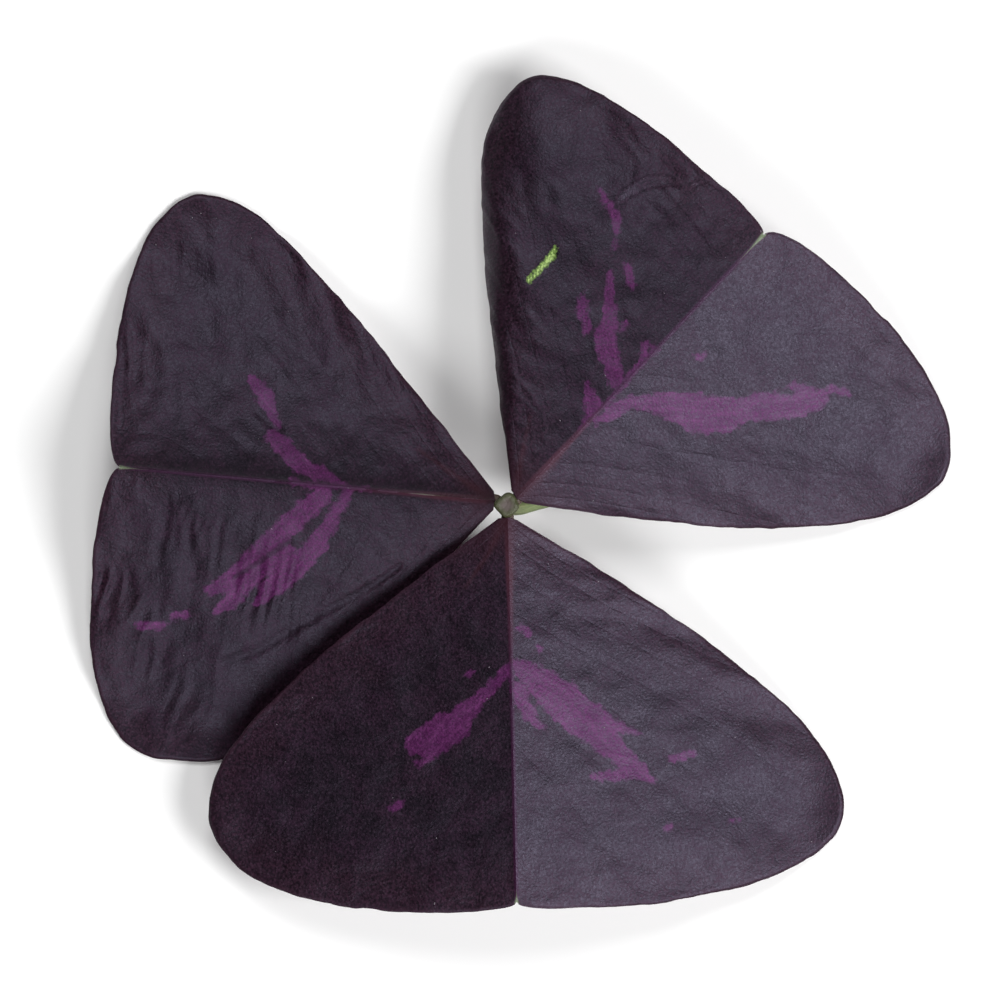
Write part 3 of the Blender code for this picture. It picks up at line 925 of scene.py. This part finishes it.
# A leaflet's short thick joint with the knob: (mm along the midrib, radius, depth below the fold)
hinge = {
    "stations": [(-0.40, 0.42, 0.70), (-0.2, 0.50, 0.80), (0.1, 0.54, 0.90), (0.5, 0.50, 0.92),
                 (1.0, 0.42, 0.86), (1.6, 0.32, 0.74), (2.4, 0.18, 0.60)],
    "tube": {"Sides": 20, "Ridges": 5.0, "Ridge Depth": 0.02, "Unevenness": 0.10},
    "skin": (0.060, 0.030, 0.024, 1),
    "fibres": (0.105, 0.085, 0.045, 1),
    "blush": (0.060, 0.018, 0.022, 1),
    "blushReach": (1.0, 0.2),
    "roughness": 0.45,
}

specks = {"Density": 16000.0, "Smallest": 0.018 * mm, "Largest": 0.045 * mm}    # of lint

leafUpper = leafUpperMaterial()
leafUnder = leafUnderMaterial()
ribSkin = tubeMaterial("ribSkin", ribs)
hingeSkin = tubeMaterial("hingeSkin", hinge)

lintSkin, lintNodes, lintInputs = newMaterial("lintSkin", 0.8, 0.2)
lintColour = tint(noise(objectPlace(lintNodes), 900.0), (0.10, 0.085, 0.11, 1), (0.30, 0.27, 0.30, 1))
link(lintColour, lintInputs["Base Color"])


def undersideHeight(leaflet, side, share, out):    # place and height of a point of the blade
    half = leaflet["halves"][side]
    pieces = blade["edgePieces"]
    margin, _ = evenly(half["margin"], pieces)
    end = np.array([np.interp(share * pieces, np.arange(pieces + 1), axis) for axis in margin.T])
    foot = leaflet["length"] * share ** blade["footCrowding"]
    x, y = foot + (end[0] - foot) * out, end[1] * out
    height = middleHeight(leaflet, half, foot, x, y, share, out) - blade["rest"]
    return x, side * y, height


def ribRoutes(leaflet):
    first, last = ribs["reach"]
    along = np.linspace(first, leaflet["length"] * last, 60)
    height = ridgeHeight(leaflet, along) - blade["rest"] - ribs["depth"]
    thick = ribs["radius"] * (1 - ribs["thinning"] * along / leaflet["length"])
    routes = [(toWorld(leaflet, along, 0 * along, height), thick * mm)]
    for side in (1, -1):
        for number in range(1, blade["veins"]):
            begin = number / blade["veins"]
            out = np.linspace(0.01, min(ribs["sideReach"], (1 - begin) / blade["veinBend"] * 0.98), 40)
            share = np.minimum(begin + blade["veinBend"] * out, 1)
            x, y, z = undersideHeight(leaflet, side, share, out)
            thick = ribs["sideRadius"] * (1 - ribs["sideThinning"] * out)
            z = np.maximum(z - 0.01, thick)    # none dips into the surface
            routes.append((toWorld(leaflet, x, y, z), thick * mm))
    return routes


def makeLeaflet(name, leaflet, seed):
    mesh = bladeMesh(name + "_blade", leaflet, seed)
    finishPiece(newObject(name + "_blade", mesh, leafUpper, leafUnder), "blade", name)

    piece = newObject(name + "_ribs", routeMesh(name + "_ribs", ribRoutes(leaflet)))
    growWith(piece, sweep, ribSkin, ribs["tube"])
    finishPiece(piece, "blade")

    along, thick, depth = np.array(hinge["stations"]).T
    route = toWorld(leaflet, along, 0 * along, ridgeHeight(leaflet, along) - depth)
    piece = newObject(name + "_hinge", routeMesh(name + "_hinge", [(route, thick * mm)]))
    growWith(piece, sweep, hingeSkin, hinge["tube"])
    finishPiece(piece, "blade")

    piece = newObject(name + "_lint", mesh.copy())
    piece.data.materials.clear()
    growWith(piece, lint, lintSkin, {**specks, "Seed": seed})
    finishPiece(piece, "blade")
    print(name, "made,", len(mesh.polygons), "faces")


for number, (name, leaflet) in enumerate(leaflets.items()):
    makeLeaflet(name, leaflet, 11 + 40 * number)


stem = {
    "swelling": 0.10,       # share by which it is thicker at the knob
    "swellingReach": 0.06,  # share of its length
    "thinning": 0.03,
    "tube": {"Sides": 32, "Ridges": 7.0, "Ridge Depth": 0.012, "Unevenness": 0.05},
    "skin": (0.150, 0.205, 0.080, 1),
    "fibres": (0.235, 0.280, 0.120, 1),
    "blush": (0.150, 0.125, 0.080, 1),
    "blushReach": (0.0, 4.0),
    "roughness": 0.45,
}

# Profiles are rings of (share of the radius, height in mm)
knob = {
    "profile": [(0.25, -0.10), (0.45, -0.08), (0.6, -0.05), (0.72, -0.03), (0.84, -0.06), (0.94, -0.14),
                (1.0, -0.27), (1.02, -0.45), (0.98, -0.75), (0.88, -1.05), (0.74, -1.35), (0.6, -1.6)],
    "turns": 72,
    "towardsLeaflets": 0.08,                      # share by which it reaches out to each leaflet
    "leafletWidth": 0.5,                          # radians
    "corners": [(4, 0.07, 0.5), (3, 0.04, 2.0)],  # number round the knob, share of the radius, turn
    "dents": 0.05,                                # mm
    "middle": (0.074, 0.054, 0.049, 1),
    "skin": (0.044, 0.047, 0.018, 1),
    "side": (0.062, 0.074, 0.022, 1),
    "spots": (0.040, 0.022, 0.018, 1),
}

cut = {
    "profile": [(0.2, 0.05), (0.4, 0.06), (0.6, 0.07), (0.8, 0.05), (0.93, 0.07), (0.98, 0.03),
                (0.98, -0.06)],
    "turns": 48,
    "radius": 0.95,  # share of the stem's
    "bundles": 7.0,
    "ringRadius": 0.62,  # of the bundles, share of the radius
    "pith": (0.36, 0.40, 0.22, 1),
    "palePith": (0.50, 0.52, 0.34, 1),
    "ring": (0.17, 0.22, 0.08, 1),
    "skin": (0.12, 0.16, 0.06, 1),
}


def discMesh(name, rings, turns, placeAt):    # a closed turned shape from its rings
    points, faces, places = [], [], []
    for radius, height in rings:
        for n in range(turns):
            angle = 2 * math.pi * n / turns
            points.append(placeAt(radius, angle, height))
            places.append((radius, angle if n < turns / 2 else angle - 2 * math.pi, height))
    for ring in range(len(rings) - 1):
        below, above = ring * turns, (ring + 1) * turns
        for n in range(turns):
            m = (n + 1) % turns
            faces.append((below + n, below + m, above + m, above + n))
    for ring in (0, len(rings) - 1):
        centre = len(points)
        height = rings[ring][1]
        points.append(placeAt(0.0, 0.0, height))
        places.append((0.0, 0.0, height))
        faces += [(ring * turns + n, ring * turns + (n + 1) % turns, centre) for n in range(turns)]
    mesh = bpy.data.meshes.new(name)
    mesh.from_pydata(points, [], faces)
    setAttribute(mesh, "knobPlace", "FLOAT_VECTOR", places)
    shape = bmesh.new()
    shape.from_mesh(mesh)
    smoothOutward(shape, mesh)
    return mesh


def makeKnob():
    facing = [math.radians(leaflet["heading"]) for leaflet in leaflets.values()]

    def placeAt(radius, angle, height):
        turns = [math.remainder(angle - way, 2 * math.pi) / knob["leafletWidth"] for way in facing]
        corner = 1 + sum(share * math.cos(count * angle + turn) for count, share, turn in knob["corners"])
        corner += knob["towardsLeaflets"] * sum(math.exp(-(turn**2)) for turn in turns)
        r = radius * stalk["knobRadius"] * corner
        x, y = r * math.cos(angle), r * math.sin(angle)
        dent = knob["dents"] * float(softNoise(np.array(3 * x + 9), np.array(3 * y + 9), 31))
        return ((hub[0] + x) * mm, (hub[1] + y) * mm, knobTop + (height + dent) * mm)

    mesh = discMesh("stalk_knob", knob["profile"], knob["turns"], placeAt)
    finishPiece(newObject("stalk_knob", mesh, knobMaterial(knob)), "stalk")


def makeStalk():
    line, _ = evenly(smoothLine(stalk["route"], 16), 260)
    line = (line + [hub[0], hub[1], lift]) * mm
    share = np.linspace(0, 1, len(line))
    swelling = stem["swelling"] * hump(share, stem["swellingReach"])
    thick = stalk["radius"] * (1.0 + swelling - stem["thinning"] * share)
    piece = newObject("stalk_stem", routeMesh("stalk_stem", [(line, thick * mm)]))
    growWith(piece, sweep, tubeMaterial("stalkSkin", stem), stem["tube"])
    finishPiece(piece, "stalk", "stalk")

    end = line[-1]
    outward = (end - line[-2]) / np.linalg.norm(end - line[-2])
    sideways = np.cross(outward, [0, 0, 1])
    sideways /= np.linalg.norm(sideways)
    upward = np.cross(sideways, outward)

    def placeAt(radius, angle, height):
        r = radius * stalk["radius"] * cut["radius"] * mm
        across = (sideways * math.cos(angle) + upward * math.sin(angle)) * r
        return tuple(end + outward * height * mm + across)

    mesh = discMesh("stalk_cut", cut["profile"], cut["turns"], placeAt)
    finishPiece(newObject("stalk_cut", mesh, cutMaterial(cut)), "stalk")


makeKnob()
makeStalk()
print("stalk made")


# Studio

studio = {
    "viewWidth": 85.0,                                          # mm across the picture, at the surface
    "cameraHeight": 500.0,                                      # mm
    "cameraPlace": (-0.58, 0.42),                               # mm from the knob, right and up
    "floor": 0.92,                                              # how pale the floor is
    "floorReach": 0.55,                                         # m, from the middle to each side
    "floorDrop": 0.03,                                          # mm below the leaf
    "world": 0.02,                                              # light from all round
    "backdrop": 1.0,                                            # how pale the room looks behind the floor
    "lampDistance": 0.70,                                       # m
    "lampSize": 0.32,                                           # m
    "lamps": [(-22, 45, 4.5), (-96, 48, 2.0), (100, 56, 2.3)],  # turn from +X and height, degrees; power, W
}


def addObject(name, data):
    item = bpy.data.objects.new(name, data)
    bpy.context.scene.collection.objects.link(item)
    return item


def makeStudio():
    floor = bpy.data.meshes.new("floor")
    size = studio["floorReach"]
    corners = [(-size, -size, 0), (size, -size, 0), (size, size, 0), (-size, size, 0)]
    floor.from_pydata(corners, [], [(0, 1, 2, 3)])
    ground = addObject("floor", floor)
    ground.location.z = -studio["floorDrop"] * mm
    paper, _, inputs = newMaterial("paleFloor", 0.9, 0.1)
    inputs["Base Color"].default_value = (studio["floor"],) * 3 + (1,)
    floor.materials.append(paper)

    world = bpy.data.worlds.new("studioWorld")
    world.use_nodes = True
    tree = world.node_tree
    around = tree.nodes["Background"]
    around.inputs["Color"].default_value = (1, 1, 1, 1)
    around.inputs["Strength"].default_value = studio["world"]
    sockets = {"Color": (1, 1, 1, 1), "Strength": studio["backdrop"]}
    seen = put("ShaderNodeBackground", sockets, tree=tree)
    isSeen = put("ShaderNodeLightPath", None, "Is Camera Ray", tree)
    both = put("ShaderNodeMixShader", {0: isSeen, 1: Wire(around.outputs[0]), 2: seen})
    link(both, tree.nodes["World Output"].inputs["Surface"])
    bpy.context.scene.world = world

    for number, (turn, height, power) in enumerate(studio["lamps"]):
        lamp = bpy.data.lights.new(f"softLight{number + 1}", "AREA")
        lamp.size = studio["lampSize"]
        lamp.energy = power
        light = addObject(lamp.name, lamp)
        turn, height = math.radians(turn), math.radians(height)
        distance = studio["lampDistance"]
        level = distance * math.cos(height)
        light.location = (level * math.cos(turn), level * math.sin(turn), distance * math.sin(height))
        light.rotation_euler = (math.pi / 2 - height, 0, turn + math.pi / 2)

    view = bpy.data.cameras.new("camera")
    view.sensor_width = 36.0
    view.lens = view.sensor_width * studio["cameraHeight"] / studio["viewWidth"]
    view.clip_start = 0.01
    camera = addObject("camera", view)
    x, y = studio["cameraPlace"]
    camera.location = ((hub[0] + x) * mm, (hub[1] + y) * mm, studio["cameraHeight"] * mm)
    bpy.context.scene.camera = camera
    bpy.context.scene.view_settings.view_transform = "Standard"


makeStudio()
print("studio made")
